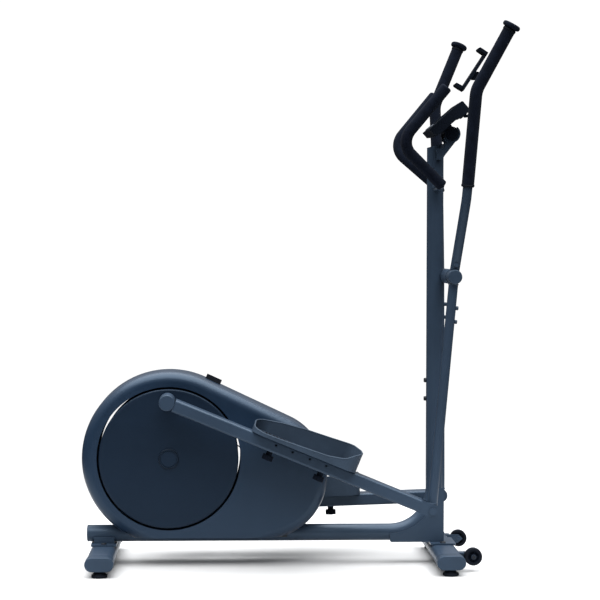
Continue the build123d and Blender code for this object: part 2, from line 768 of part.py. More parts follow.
nodes["bearings"] = bearings()
nodes["crank_axle"] = crank_axle()
nodes["crank_pulley"] = crank_pulley()
nodes["crank_discs"] = both_sides(crank_disc())
nodes["disc_caps"] = both_sides(disc_cap())
nodes["flywheel"] = flywheel()
nodes["drive_belt"] = drive_belt()
nodes["idler_arm"] = idler_arm()
nodes["idler_pulley"] = idler_pulley()
nodes["magnet_bracket"] = magnet_bracket()
for name, side in (("right", -1), ("left", 1)):
    nodes[f"lower_arm_{name}"] = place_arm(lower_arm(), side)
    nodes[f"handlebar_{name}"] = place_arm(handlebar(), side)
    nodes[f"hand_grip_{name}"] = place_arm(hand_grip(), side)
    nodes[f"arm_hardware_{name}"] = place_arm(arm_hardware(), side)
    nodes[f"pedal_bar_{name}"] = place_pedal(pedal_bar(), side)
    nodes[f"pedal_pins_{name}"] = place_pedal(group([crank_pin(), fork_bolt()]), side)
    nodes[f"foot_plate_{name}"] = place_pedal(foot_plate(), side)
    for spot, place_x in zip(("rear", "front"), knob_places):
        nodes[f"knob_{spot}_{name}"] = place_pedal(knob(place_x), side)
nodes["console_bracket"] = console_bracket()
nodes["console_back"] = console_back()
nodes["console_face"] = console_face()
nodes["console_screen"] = console_screen()
for name, y in zip(("right", "middle", "left"), button_places):
    nodes[f"button_{name}"] = button(y)
nodes["tablet_stem"] = tablet_stem()
nodes["tablet_rail"] = tablet_rail()
nodes["tablet_jaw"] = tablet_jaw()

os.makedirs("parts", exist_ok=True)
for name, shape in nodes.items():
    export_step(shape, f"parts/{name}.step")
print(len(nodes), "nodes")
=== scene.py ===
import json
import math
import bpy
from mathutils import Euler, Matrix, Vector


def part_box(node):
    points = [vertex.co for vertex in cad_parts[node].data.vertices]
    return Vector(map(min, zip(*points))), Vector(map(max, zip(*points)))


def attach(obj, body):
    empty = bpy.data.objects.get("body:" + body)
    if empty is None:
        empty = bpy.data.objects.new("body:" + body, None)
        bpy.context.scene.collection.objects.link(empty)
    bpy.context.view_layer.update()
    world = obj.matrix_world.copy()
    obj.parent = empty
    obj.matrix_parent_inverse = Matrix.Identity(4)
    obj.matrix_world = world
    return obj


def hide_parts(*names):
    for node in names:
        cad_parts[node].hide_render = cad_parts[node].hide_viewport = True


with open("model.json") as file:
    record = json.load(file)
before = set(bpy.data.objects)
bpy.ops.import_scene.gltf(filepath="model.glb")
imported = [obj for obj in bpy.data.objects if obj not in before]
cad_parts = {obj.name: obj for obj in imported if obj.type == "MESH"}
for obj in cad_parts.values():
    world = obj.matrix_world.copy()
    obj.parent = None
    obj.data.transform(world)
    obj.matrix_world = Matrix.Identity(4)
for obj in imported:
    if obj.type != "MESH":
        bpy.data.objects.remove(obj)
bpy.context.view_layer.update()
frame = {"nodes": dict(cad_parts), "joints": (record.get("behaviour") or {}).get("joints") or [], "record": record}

nodes = frame["nodes"]
joints = {joint["name"]: joint for joint in frame["joints"]}
sides = {"right": -1, "left": 1}  # the sign of Y on each side
highlight = (0.62, 0.80, 1.0)  # cool reflections on the slate finishes


class Wire:
    # A shader socket that can be written into ordinary sums
    def __init__(self, wiring, socket):
        self.wiring = wiring
        self.socket = socket

    def math(self, operation, first, second=0.0):
        return self.wiring.node("ShaderNodeMath", {"operation": operation}, {0: first, 1: second})

    def __add__(self, other):
        return self.math("ADD", self, other)

    def __sub__(self, other):
        return self.math("SUBTRACT", self, other)

    def __rsub__(self, other):
        return self.math("SUBTRACT", other, self)

    def __mul__(self, other):
        return self.math("MULTIPLY", self, other)

    def __gt__(self, other):
        return self.math("GREATER_THAN", self, other)

    def __lt__(self, other):
        return self.math("LESS_THAN", self, other)

    __radd__ = __add__
    __rmul__ = __mul__

    def root(self):
        return self.math("SQRT", self)

    def absolute(self):
        return self.math("ABSOLUTE", self)

    def wave(self):
        return self.math("SINE", self)


class Wiring:
    # A node tree that takes new nodes with their settings and sockets
    def __init__(self, tree):
        self.tree = tree

    def node(self, kind, settings, values, output=0):
        made = self.tree.nodes.new(kind)
        for name, value in settings.items():
            setattr(made, name, value)
        for socket, value in values.items():
            if isinstance(value, Wire):
                self.tree.links.new(value.socket, made.inputs[socket])
            else:
                made.inputs[socket].default_value = value
        return Wire(self, made.outputs[output])

    def spread(self, value, low, high, least=0.0, most=1.0):
        # Stretches low..high over least..most
        limits = {"From Min": low, "From Max": high, "To Min": least, "To Max": most}
        return self.node("ShaderNodeMapRange", {}, {"Value": value, **limits})


class Finish(Wiring):
    # One material, built from a Principled shader outwards
    def __init__(self, name, color, roughness, **fixed):
        self.material = bpy.data.materials.new(name)
        self.material.use_nodes = True
        self.material.diffuse_color = (*color, 1)
        super().__init__(self.material.node_tree)
        self.shader = self.tree.nodes["Principled BSDF"]
        self.shader.inputs["Base Color"].default_value = (*color, 1)
        self.shader.inputs["Roughness"].default_value = roughness
        if "Metallic" not in fixed:
            self.shader.inputs["Specular Tint"].default_value = (*highlight, 1)
        for socket, value in fixed.items():
            self.shader.inputs[socket.replace("_", " ")].default_value = value

    def place(self):
        return self.node("ShaderNodeTexCoord", {}, {}, "Object")

    def axis(self, letter):
        return self.node("ShaderNodeSeparateXYZ", {}, {0: self.place()}, letter)

    def upward(self):
        normal = self.node("ShaderNodeNewGeometry", {}, {}, "Normal")
        return self.node("ShaderNodeSeparateXYZ", {}, {0: normal}, "Z")

    def noise(self, scale, detail=3.0, stretch=(1, 1, 1)):
        spot = self.node("ShaderNodeMapping", {}, {"Vector": self.place(), "Scale": stretch})
        return self.node("ShaderNodeTexNoise", {}, {"Vector": spot, "Scale": scale, "Detail": detail})

    def cells(self, scale, feature="F1"):
        spot = self.place()
        return self.node("ShaderNodeTexVoronoi", {"feature": feature}, {"Vector": spot, "Scale": scale})

    def blend(self, factor, first, second):
        colors = [value if isinstance(value, Wire) else (*value, 1) for value in (first, second)]
        return self.node("ShaderNodeMix", {"data_type": "RGBA"}, {0: factor, 6: colors[0], 7: colors[1]}, 2)

    def feed(self, name, value):
        self.tree.links.new(value.socket, self.shader.inputs[name])

    def bump(self, height, strength, distance):
        values = {"Height": height, "Strength": strength, "Distance": distance}
        self.feed("Normal", self.node("ShaderNodeBump", {}, values))

    def mottled(self, color, scale, detail, dark, light):
        # A colour that drifts between two of its shades in soft clouds
        clouds = self.spread(self.noise(scale, detail), 0.3, 0.7)
        return self.blend(clouds, shade(color, dark), shade(color, light))

    def roughen(self, scale, detail, least, drift):
        self.feed("Roughness", self.spread(self.noise(scale, detail), 0.2, 0.8) * drift + least)


def shade(color, factor):
    return tuple(channel * factor for channel in color)


paint = {"color": (0.0222, 0.0366, 0.0602), "roughness": 0.36, "gloss": 0.35, "peel": 0.00014,
         "dust": 0.12, "dustTone": 2.4, "chips": 0.12, "chipTone": 3.2}


def paintedSteel():
    # Powder coat: orange peel, dust on the upper faces and small pale chips
    color = paint["color"]
    finish = Finish("paintedSteel", color, paint["roughness"], Specular_IOR_Level=paint["gloss"])
    tone = finish.mottled(color, 5, 4, 0.90, 1.10)
    dust = finish.spread(finish.upward(), 0.75, 1.0) * finish.spread(finish.noise(24, 5), 0.3, 0.8)
    tone = finish.blend(dust * paint["dust"], tone, shade(color, paint["dustTone"]))
    chips = finish.spread(finish.noise(420, 4), 0.70, 0.74) * paint["chips"]
    finish.feed("Base Color", finish.blend(chips, tone, shade(color, paint["chipTone"])))
    finish.roughen(30, 5, paint["roughness"] - 0.05, 0.10)
    finish.bump(finish.noise(260, 2) + finish.noise(900, 2) * 0.4, 0.35, paint["peel"])
    return finish.material


housing = {"color": (0.0072, 0.0172, 0.0360), "roughness": 0.34, "gloss": 0.42, "grain": 0.00010,
           "seam": 0.0008}
disc = {"color": (0.0050, 0.0110, 0.0225), "roughness": 0.42, "gloss": 0.20, "grain": 0.00010, "seam": 0}


def mouldedShell(name, values):
    # Large moulding: fine grain, faint flow marks and, on the housing, the dark seam of its halves
    color = values["color"]
    finish = Finish(name, color, values["roughness"], Specular_IOR_Level=values["gloss"])
    flow = finish.spread(finish.noise(14, 3, (0.3, 1, 2.2)), 0.4, 0.8)
    tone = finish.blend(flow * 0.08, finish.mottled(color, 4, 3, 0.92, 1.08), shade(color, 1.6))
    height = finish.cells(1600, "SMOOTH_F1") + finish.noise(700, 2) * 0.6
    if values["seam"]:
        line = finish.axis("Y").absolute() < values["seam"]
        tone = finish.blend(line * 0.85, tone, shade(color, 0.25))
        height = height - line * 6.0
    finish.feed("Base Color", tone)
    finish.roughen(22, 4, values["roughness"] - 0.04, 0.08)
    finish.bump(height, 0.5, values["grain"])
    return finish.material


capPlastic = {"color": shade(paint["color"], 0.92), "roughness": 0.46, "gloss": 0.3}
darkPlastic = {"color": (0.0030, 0.0045, 0.0090), "roughness": 0.74, "gloss": 0.10}
buttonPlastic = {"color": (0.10, 0.11, 0.13), "roughness": 0.55, "gloss": 0.3}
platePlastic = {"color": (0.022, 0.034, 0.053), "roughness": 0.52, "gloss": 0.30}


def grainedPlastic(name, values):
    # Small mouldings: coarser grain with rubbed patches
    color = values["color"]
    finish = Finish(name, color, values["roughness"], Specular_IOR_Level=values["gloss"])
    rubbed = finish.spread(finish.noise(40, 6), 0.55, 0.8) * 0.14
    tone = finish.mottled(color, 9, 3, 0.85, 1.2)
    finish.feed("Base Color", finish.blend(rubbed, tone, shade(color, 2.2)))
    finish.roughen(60, 3, values["roughness"] - 0.06, 0.12)
    finish.bump(finish.cells(1100) + finish.noise(500, 3) * 0.5, 0.55, 0.00014)
    return finish.material


# Radii of the joint groove, which also bound the ring of painted shade in it
capGrooveAndShade = {"inner": 0.0272, "outer": 0.0292}


def discCap():
    # The same moulding as the disc, with a joint groove round the crank's centre whose dark ring is painted shade
    color = shade(disc["color"], 1.15)
    finish = Finish("discCap", color, 0.42, Specular_IOR_Level=disc["gloss"])
    centre = joints["crank_spin"]["pos_m"]
    across = finish.axis("X") - centre[0]
    up = finish.axis("Z") - centre[2]
    reach = (across * across + up * up).root()
    ring = (reach > capGrooveAndShade["inner"]) * (reach < capGrooveAndShade["outer"])
    tone = finish.mottled(color, 12, 3, 0.9, 1.1)
    # Painted shade: the ring in the joint groove is coloured nearly black
    finish.feed("Base Color", finish.blend(ring, tone, shade(color, 0.15)))
    finish.roughen(40, 3, 0.38, 0.10)
    finish.bump(finish.cells(1500) - ring * 8.0, 0.5, 0.00012)
    return finish.material


foam = {"color": (0.0034, 0.0052, 0.0110), "roughness": 0.88, "gloss": 0.06, "sheen": 0.02, "pores": 0.0004}


def gripFoam():
    color = foam["color"]
    finish = Finish("gripFoam", color, foam["roughness"], Specular_IOR_Level=foam["gloss"],
                    Sheen_Weight=foam["sheen"], Sheen_Roughness=0.6)
    pores = finish.cells(950, "SMOOTH_F1")
    skin = finish.noise(60, 5)
    worn = finish.spread(skin, 0.3, 0.75)
    finish.feed("Base Color", finish.blend(worn, shade(color, 0.8), shade(color, 1.5)))
    finish.feed("Roughness", finish.spread(pores, 0.0, 0.6) * 0.12 + (foam["roughness"] - 0.06))
    finish.bump(pores + skin * 0.7, 0.8, foam["pores"])
    return finish.material


rubber = {"color": (0.0045, 0.0050, 0.0078), "roughness": 0.72, "gloss": 0.12, "dust": 0.30,
          "ringPitch": 0.004}


def blackRubber(name, ringed):
    # Matt rubber that holds dust, with moulded rings round the levelling feet
    color = rubber["color"]
    finish = Finish(name, color, rubber["roughness"], Specular_IOR_Level=rubber["gloss"])
    height = finish.noise(420, 3)
    if ringed:
        height = height + (finish.axis("Z") * (2 * math.pi / rubber["ringPitch"])).wave() * 1.5
    dusty = finish.spread(finish.noise(45, 5), 0.45, 0.8) * rubber["dust"]
    finish.feed("Base Color", finish.blend(dusty, color, shade(color, 2.0)))
    finish.roughen(90, 3, rubber["roughness"] - 0.06, 0.14)
    finish.bump(height, 0.5, 0.0002)
    return finish.material


boltSteel = {"color": (0.012, 0.015, 0.021), "worn": (0.07, 0.075, 0.085), "roughness": 0.36}


def blackSteel():
    color = boltSteel["color"]
    finish = Finish("blackSteel", color, boltSteel["roughness"], Metallic=0.4, Specular_IOR_Level=0.3)
    worn = finish.spread(finish.noise(140, 6), 0.60, 0.76) * 0.5
    finish.feed("Base Color", finish.blend(worn, color, boltSteel["worn"]))
    finish.roughen(200, 4, boltSteel["roughness"] - 0.06, 0.15)
    finish.bump(finish.noise(800, 2), 0.3, 0.00008)
    return finish.material


axleSteel = {"color": (0.50, 0.50, 0.52), "roughness": 0.3}
flywheelIron = {"color": (0.16, 0.16, 0.17), "roughness": 0.45}


def turnedMetal(name, values):
    # Tool marks run round the Y axis
    color = values["color"]
    finish = Finish(name, color, values["roughness"], Metallic=1.0)
    streaks = finish.noise(60, 6, (1, 40, 1))
    marks = finish.spread(streaks, 0.3, 0.7)
    finish.feed("Base Color", finish.blend(marks, shade(color, 0.8), shade(color, 1.15)))
    finish.feed("Roughness", finish.spread(streaks, 0.25, 0.75) * 0.18 + (values["roughness"] - 0.08))
    finish.bump(streaks, 0.25, 0.00006)
    return finish.material


display = {"glass": (0.010, 0.014, 0.016), "bars": (0.030, 0.040, 0.038), "acrossPitch": 300, "upPitch": 420}


def displayGlass():
    # A plain unlit display with faint segment bars
    finish = Finish("displayGlass", display["glass"], 0.12, Coat_Weight=0.5, Coat_Roughness=0.05)
    across = (finish.axis("Y") * display["acrossPitch"]).wave() > 0.2
    up = (finish.axis("Z") * display["upPitch"]).wave() > 0.1
    finish.feed("Base Color", finish.blend(across * up * 0.5, display["glass"], display["bars"]))
    finish.feed("Roughness", finish.spread(finish.noise(26, 5), 0.45, 0.8) * 0.16 + 0.10)
    return finish.material


tag = {"low": (0.004, 0.004, 0.006), "high": (0.010, 0.010, 0.013)}


def tagPlate():
    finish = Finish("tagPlate", tag["low"], 0.5, Specular_IOR_Level=0.25)
    mottle = finish.spread(finish.noise(300, 3), 0.3, 0.7)
    finish.feed("Base Color", finish.blend(mottle, tag["low"], tag["high"]))
    finish.bump(finish.noise(900, 2), 0.4, 0.0001)
    return finish.material


# Valley and ridge colours follow the ribs' bump: the darker valleys are painted shade
belt = {"valley": (0.008, 0.008, 0.009), "ridge": (0.022, 0.022, 0.023), "pitch": 0.00234}


def beltRubber():
    finish = Finish("beltRubber", belt["valley"], 0.7)
    ribs = (finish.axis("Y") * (2 * math.pi / belt["pitch"])).wave()
    # Painted shade: the valleys between the ribs are coloured darker than the ridges
    finish.feed("Base Color", finish.blend(finish.spread(ribs, 0.0, 1.0), belt["valley"], belt["ridge"]))
    finish.bump(ribs, 0.8, 0.0006)
    return finish.material


finishes = {
    "frame_paint": paintedSteel(),
    "housing_plastic": mouldedShell("housingPlastic", housing),
    "disc_plastic": mouldedShell("discPlastic", disc),
    "cap_plastic": grainedPlastic("capPlastic", capPlastic),
    "black_plastic": grainedPlastic("darkPlastic", darkPlastic),
    "button_plastic": grainedPlastic("buttonPlastic", buttonPlastic),
    "foam": gripFoam(),
    "foot_rubber": blackRubber("footRubber", True),
    "wheel_rubber": blackRubber("wheelRubber", False),
    "black_steel": blackSteel(),
    "bright_steel": turnedMetal("turnedSteel", axleSteel),
    "iron": turnedMetal("castIron", flywheelIron),
    "screen": displayGlass(),
}
plateFinish = grainedPlastic("platePlastic", platePlastic)
special = {"foot_plate_right": plateFinish, "foot_plate_left": plateFinish,
           "housing_tag": tagPlate(), "drive_belt": beltRubber(), "disc_caps": discCap(),
           "pedal_pins_right": finishes["frame_paint"], "pedal_pins_left": finishes["frame_paint"],
           "arm_hardware_right": finishes["cap_plastic"], "arm_hardware_left": finishes["cap_plastic"]}

for entry in frame["record"]["subparts"]:
    materials = nodes[entry["node"]].data.materials
    materials.clear()
    materials.append(special.get(entry["node"], finishes[entry["material_slot"]]))
print("stage: finishes on", len(nodes), "nodes")


def clearSelection():
    if bpy.context.object and bpy.context.object.mode != "OBJECT":
        bpy.ops.object.mode_set(mode="OBJECT")
    bpy.ops.object.select_all(action="DESELECT")


def take(piece):
    clearSelection()
    piece.select_set(True)
    bpy.context.view_layer.objects.active = piece


def applyAll(piece):
    take(piece)
    for modifier in list(piece.modifiers):
        bpy.ops.object.modifier_apply(modifier=modifier.name)


def settle(piece, matrix):
    # Puts a piece made round the origin into its place, with the place kept in the mesh
    take(piece)
    piece.matrix_world = matrix @ piece.matrix_world
    bpy.ops.object.transform_apply(location=True, rotation=True, scale=True)


def joinAll(pieces):
    take(pieces[0])
    for piece in pieces:
        piece.select_set(True)
    bpy.ops.object.join()
    return pieces[0]


def complete(piece, name, body, slot, finish=None):
    # Names, shades and finishes a piece, which then rides on its body
    take(piece)
    piece.name = name
    piece.data.name = name
    bpy.ops.object.shade_smooth_by_angle(angle=math.radians(35))
    piece.data.materials.clear()
    piece.data.materials.append(finish or finishes[slot])
    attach(piece, body)
    return piece


def turned(profile, steps):
    # Spins a closed outline of (radius, height) points round Z
    clearSelection()
    bpy.ops.mesh.primitive_circle_add(vertices=len(profile), radius=0.01)
    piece = bpy.context.object
    for vertex, (radius, height) in zip(piece.data.vertices, profile):
        vertex.co = (radius, 0, height)
    bpy.ops.object.mode_set(mode="EDIT")
    bpy.ops.mesh.select_all(action="SELECT")
    bpy.ops.mesh.spin(steps=steps, angle=2 * math.pi, center=(0, 0, 0), axis=(0, 0, 1))
    bpy.ops.mesh.select_all(action="SELECT")
    bpy.ops.mesh.remove_doubles(threshold=0.000005)
    bpy.ops.mesh.normals_make_consistent(inside=False)
    bpy.ops.object.mode_set(mode="OBJECT")
    return piece


def ringProfile(radius, thick, points=10):
    turns = [2 * math.pi * place / points for place in range(points)]
    return [(radius + thick * math.cos(turn), thick * math.sin(turn)) for turn in turns]


def bead(points, radius, closed, roundness=2):
    # A round bar along a line of points, made a mesh
    clearSelection()
    curve = bpy.data.curves.new("bead", "CURVE")
    curve.dimensions = "3D"
    curve.bevel_depth = radius
    curve.bevel_resolution = roundness
    spline = curve.splines.new("POLY")
    spline.points.add(len(points) - 1)
    for point, place in zip(spline.points, points):
        point.co = (*place, 1)
    spline.use_cyclic_u = closed
    curve.use_fill_caps = not closed
    piece = bpy.data.objects.new("bead", curve)
    bpy.context.scene.collection.objects.link(piece)
    take(piece)
    bpy.ops.object.convert(target="MESH")
    return bpy.context.object


def roundEdges(piece, width, **settings):
    rounding = piece.modifiers.new("rounding", "BEVEL")
    rounding.width = width
    rounding.segments = 2
    for name, value in settings.items():
        setattr(rounding, name, value)
    applyAll(piece)


def softBlock(size, place, edge):
    # A small block with its edges rounded over
    clearSelection()
    bpy.ops.mesh.primitive_cube_add(size=1, location=place, scale=size)
    piece = bpy.context.object
    bpy.ops.object.transform_apply(location=True, rotation=True, scale=True)
    roundEdges(piece, edge)
    return piece


def repeat(piece, count, step):
    row = piece.modifiers.new("row", "ARRAY")
    row.count = count
    row.use_relative_offset = False
    row.use_constant_offset = True
    row.constant_offset_displace = step
    applyAll(piece)


def socketHead(radius, socket, depth):
    # A bolt head that lies on Z = 0, with a hexagon socket sunk in its top
    clearSelection()
    bpy.ops.mesh.primitive_cylinder_add(vertices=36, radius=radius, depth=depth, location=(0, 0, depth / 2))
    piece = bpy.context.object
    bpy.ops.object.transform_apply(location=True, rotation=True, scale=True)
    for face in piece.data.polygons:
        face.select = face.normal.z > 0.9
    for edge in piece.data.edges:
        edge.select = False
    bpy.ops.object.mode_set(mode="EDIT")
    bpy.ops.mesh.select_mode(type="FACE")
    bpy.ops.mesh.inset(thickness=radius - socket)
    bpy.ops.object.mode_set(mode="OBJECT")
    top = [face for face in piece.data.polygons if face.select][0]
    for index in top.vertices:
        # The round inset moves onto the hexagon's flats
        vertex = piece.data.vertices[index]
        turn = math.atan2(vertex.co.y, vertex.co.x) % (math.pi / 3) - math.pi / 6
        reach = socket * math.cos(math.pi / 6) / math.cos(turn)
        vertex.co = Vector((vertex.co.x, vertex.co.y, 0)).normalized() * reach + Vector((0, 0, vertex.co.z))
    bpy.ops.object.mode_set(mode="EDIT")
    bpy.ops.mesh.extrude_region_move(TRANSFORM_OT_translate={"value": (0, 0, -depth * 0.8)})
    bpy.ops.object.mode_set(mode="OBJECT")
    roundEdges(piece, depth * 0.25, limit_method="ANGLE")
    return piece


def axesMatrix(place, alongX, alongZ):
    alongX = Vector(alongX).normalized()
    alongZ = Vector(alongZ).normalized()
    alongY = alongZ.cross(alongX)
    turn = Matrix((alongX, alongY, alongZ)).transposed().to_4x4()
    return Matrix.Translation(place) @ turn


def pointing(place, direction):
    return Matrix.Translation(place) @ Vector(direction).to_track_quat("Z", "Y").to_matrix().to_4x4()


def jointPlace(name):
    return Vector(joints[name]["pos_m"])


def roundedOutline(back, front, reach, corner, steps):
    # A rectangle's rounded outline, from the middles of its corners at X back and front, Y -reach and reach
    outline = []
    for count, (x, y) in enumerate(((front, reach), (back, reach), (back, -reach), (front, -reach))):
        for step in range(steps + 1):
            turn = math.radians(90 * (count + step / steps))
            outline.append((x + corner * math.cos(turn), y + corner * math.sin(turn)))
    return outline


pedalLength = 0.8335  # from the crank pin to the arm's eye


def pedalFrame(side):
    # X runs forward along the pedal bar from the crank pin, Z is square to it
    eye = jointPlace("pedal_%s_tilt" % side)
    forward = Vector(joints["foot_plate_%s_slide" % side]["axis"])
    start = Vector((eye.x, 0, eye.z)) - forward * pedalLength
    return axesMatrix(start, forward, (-forward.z, 0, forward.x))


def armFrame(side):
    # Z runs up the lower arm from its pivot, X is square to it
    pivot = jointPlace("arm_%s_swing" % side)
    eye = jointPlace("pedal_%s_tilt" % side)
    up = Vector((pivot.x - eye.x, 0, pivot.z - eye.z)).normalized()
    return axesMatrix((pivot.x, 0, pivot.z), (up.z, 0, -up.x), up)


# Transport wheels: a grooved tyre on a hub with spokes
wheel = {"radius": 0.026, "half": 0.011, "rim": 0.0176, "hub": 0.0078, "bore": 0.0042, "spokes": 5,
         "groove": 0.0009, "grooveEdges": (0.0022, 0.0027, 0.0037, 0.0042), "web": 0.0030, "lip": 0.0105}


def mirrored(halfProfile):
    # The lower half of an outline, then its mirror image
    return halfProfile + [(radius, -height) for radius, height in reversed(halfProfile)]


def tyreProfile():
    radius, half, rim = wheel["radius"], wheel["half"], wheel["rim"]
    valley = radius - wheel["groove"]
    inner, innerFloor, outerFloor, outer = wheel["grooveEdges"]
    return mirrored([(rim, -half + 0.0005), (radius - 0.0025, -half), (radius - 0.0004, -half + 0.002),
                     (radius, -outer), (valley, -outerFloor), (valley, -innerFloor), (radius, -inner)])


def hubProfile():
    rim, hub, web, lip = (wheel[key] for key in ("rim", "hub", "web", "lip"))
    return mirrored([(wheel["bore"], -lip), (hub, -lip), (hub + 0.0006, -web), (rim - 0.0022, -web),
                     (rim - 0.0014, -0.0100), (rim, -0.0104)])


def makeWheels():
    rim, hub = wheel["rim"], wheel["hub"]
    for side, sign in sides.items():
        place = pointing(jointPlace("wheel_%s_spin" % side), (0, sign, 0))
        tyre = turned(tyreProfile(), 64)
        settle(tyre, place)
        complete(tyre, "wheelTyre_" + side, "wheel_" + side, "wheel_rubber")
        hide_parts("wheel_" + side)
        pieces = [turned(hubProfile(), 48)]
        for count in range(wheel["spokes"]):
            spoke = softBlock((rim - hub, 0.0026, 0.0170), ((rim + hub) / 2, 0, 0), 0.0006)
            settle(spoke, Matrix.Rotation(2 * math.pi * count / wheel["spokes"], 4, "Z"))
            pieces.append(spoke)
        middle = joinAll(pieces)
        settle(middle, place)
        complete(middle, "wheelHub_" + side, "wheel_" + side, "black_plastic")


# Foot plates: a rolled rim, whose height at the outer and inner side is given along the tray, and ribs
footPlate = {"start": 0.259, "end": 0.582, "middle": 0.1675, "half": 0.0675, "corner": 0.044, "wall": 0.0032,
             "top": 0.0185, "floor": 0.02365, "rim": 0.0023, "slope": 0.145, "slopeStart": 0.005,
             "stations": (0.254, 0.300, 0.340, 0.410, 0.485, 0.535, 0.560, 0.587),
             "outer": (0.008, 0.008, 0.0085, 0.012, 0.016, 0.0265, 0.045, 0.062),
             "inner": (0.034, 0.040, 0.0485, 0.057, 0.062, 0.0655, 0.0665, 0.060)}
tread = {"size": (0.0165, 0.0050, 0.0022), "edge": 0.0009, "rows": 8, "firstRow": 0.122, "rowStep": 0.013,
         "ribStep": 0.0230, "stagger": 0.0115, "long": (0.285, 12), "short": (0.309, 10)}


def rimHeight(x, share):
    stations = footPlate["stations"]
    for place in range(len(stations) - 1):
        if x <= stations[place + 1]:
            break
    part = (x - stations[place]) / (stations[place + 1] - stations[place])
    outer, inner = (row[place] + (row[place + 1] - row[place]) * part
                    for row in (footPlate["outer"], footPlate["inner"]))
    return footPlate["top"] + outer + (inner - outer) * share


def rimLine(sign):
    # The tray's upper edge, as points round its rounded outline
    inset = footPlate["wall"] / 2
    corner = footPlate["corner"] - inset
    back, front = footPlate["start"] + inset + corner, footPlate["end"] - inset - corner
    reach = footPlate["half"] - inset - corner
    outline = roundedOutline(back, front, reach, corner, 12)
    line = []
    for (x, y), (nextX, nextY) in zip(outline, outline[1:] + outline[:1]):
        pieces = max(1, int(math.hypot(nextX - x, nextY - y) / 0.012))
        for piece in range(pieces):
            spotX = x + (nextX - x) * piece / pieces
            spotY = y + (nextY - y) * piece / pieces
            across = spotY + footPlate["half"]
            share = (across + footPlate["slopeStart"]) / footPlate["slope"]
            height = rimHeight(spotX, min(max(share, 0), 1))
            line.append((spotX, sign * (footPlate["middle"] - spotY), height))
    return line


def makeFootPlates():
    for side, sign in sides.items():
        place = pedalFrame(side)
        rim = bead(rimLine(sign), footPlate["rim"], True)
        settle(rim, place)
        complete(rim, "plateRim_" + side, "foot_plate_" + side, "cap_plastic", plateFinish)
        ribs = []
        for row in range(tread["rows"]):
            outerRow = row in (0, tread["rows"] - 1)
            start, count = tread["short"] if outerRow else tread["long"]
            start += tread["stagger"] * (row % 2)
            across = sign * (tread["firstRow"] + tread["rowStep"] * row)
            rib = softBlock(tread["size"], (start, across, footPlate["floor"]), tread["edge"])
            repeat(rib, count, (tread["ribStep"], 0, 0))
            ribs.append(rib)
        field = joinAll(ribs)
        settle(field, place)
        complete(field, "plateTread_" + side, "foot_plate_" + side, "foot_rubber")


# Bolt heads: radius, half width of the socket and height of each, and where they sit
mastBolt = {"head": (0.0064, 0.0034, 0.0020), "heights": (0.492, 0.547), "proud": 0.0050}
armBolt = {"head": (0.0056, 0.0030, 0.0018), "heights": (-0.090, -0.130), "front": 0.0193}
axleBolt = {"head": (0.0062, 0.0032, 0.0018), "out": 0.0148}
armTubeY = 0.175


def makeBolts():
    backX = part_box("mast")[0][0] - mastBolt["proud"]
    for count, height in enumerate(mastBolt["heights"]):
        bolt = socketHead(*mastBolt["head"])
        settle(bolt, pointing((backX, 0, height), (-1, 0, 0)))
        complete(bolt, "mastBolt_%d" % (count + 1), "frame", "black_steel")
    for side, sign in sides.items():
        arm = armFrame(side)
        for count, height in enumerate(armBolt["heights"]):
            bolt = socketHead(*armBolt["head"])
            settle(bolt, arm @ pointing((armBolt["front"], sign * armTubeY, height), (1, 0, 0)))
            complete(bolt, "armBolt_%s_%d" % (side, count + 1), "arm_" + side, "black_steel")
        axleEnd = jointPlace("wheel_%s_spin" % side) + Vector((0, sign * axleBolt["out"], 0))
        bolt = socketHead(*axleBolt["head"])
        settle(bolt, pointing(axleEnd, (0, sign, 0)))
        complete(bolt, "axleBolt_" + side, "frame", "black_steel")


# Foam collars near both ends of each moving grip, whose line is given in the arm's frame
grip = {"line": ((0.0058, -0.245, 0.226), (-0.0015, -0.290, 0.533), (0.075, -0.310, 0.715)),
        "radius": 0.018, "lowCollar": 0.039, "highCollar": 0.006}
collar = {"sunk": 0.002, "edge": (0.0002, 0.0035), "crown": (0.0011, 0.0022)}


def makeCollars():
    radius = grip["radius"]
    edge, half = collar["edge"]
    crown, crownHalf = collar["crown"]
    inside = radius - collar["sunk"]
    profile = mirrored([(inside, -half), (radius + edge, -half), (radius + crown, -crownHalf)])
    for side, sign in sides.items():
        arm = armFrame(side)
        lower, bend, top = (Vector((x, -sign * y, z)) for x, y, z in grip["line"])
        rise = (bend - lower).normalized()
        tilt = (top - bend).normalized()
        ends = {"low": (lower + rise * grip["lowCollar"], rise),
                "high": (top - tilt * grip["highCollar"], tilt)}
        for name, (place, direction) in ends.items():
            ring = turned(profile, 48)
            settle(ring, arm @ pointing(place, direction))
            complete(ring, "gripCollar_%s_%s" % (name, side), "arm_" + side, "foot_rubber")


# Weld beads round the lower arm tube, at its hub and at its eye
weld = {"radius": 0.0142, "thick": 0.0017, "heights": {"hub": -0.0215, "eye": -0.6628}}


def makeWelds():
    for side, sign in sides.items():
        arm = armFrame(side)
        for name, height in weld["heights"].items():
            ring = turned(ringProfile(weld["radius"], weld["thick"]), 40)
            settle(ring, arm @ Matrix.Translation((0, sign * armTubeY, height)))
            complete(ring, "armWeld_%s_%s" % (name, side), "arm_" + side, "frame_paint")


# Fixed bars: a bent steel tube on each side, which enters the side of the mast
fixedBar = {"points": ((0.414, 0.008, 1.122), (0.4300, 0.0579, 1.1307), (0.300, 0.122, 1.251),
                       (0.428, 0.150, 1.4055)),
            "bends": (0.0128, 0.055), "radius": 0.0122}


def roundedPath(points, bends, steps=10):
    # Straight runs joined by arcs
    path = [points[0]]
    for before, corner, after, radius in zip(points, points[1:], points[2:], bends):
        back = (before - corner).normalized()
        ahead = (after - corner).normalized()
        half = back.angle(ahead) / 2
        reach = radius / math.tan(half)
        centre = corner + (back + ahead).normalized() * (radius / math.sin(half))
        first = corner + back * reach - centre
        last = corner + ahead * reach - centre
        path += [centre + first.slerp(last, step / steps) * radius for step in range(steps + 1)]
    return path + [points[-1]]


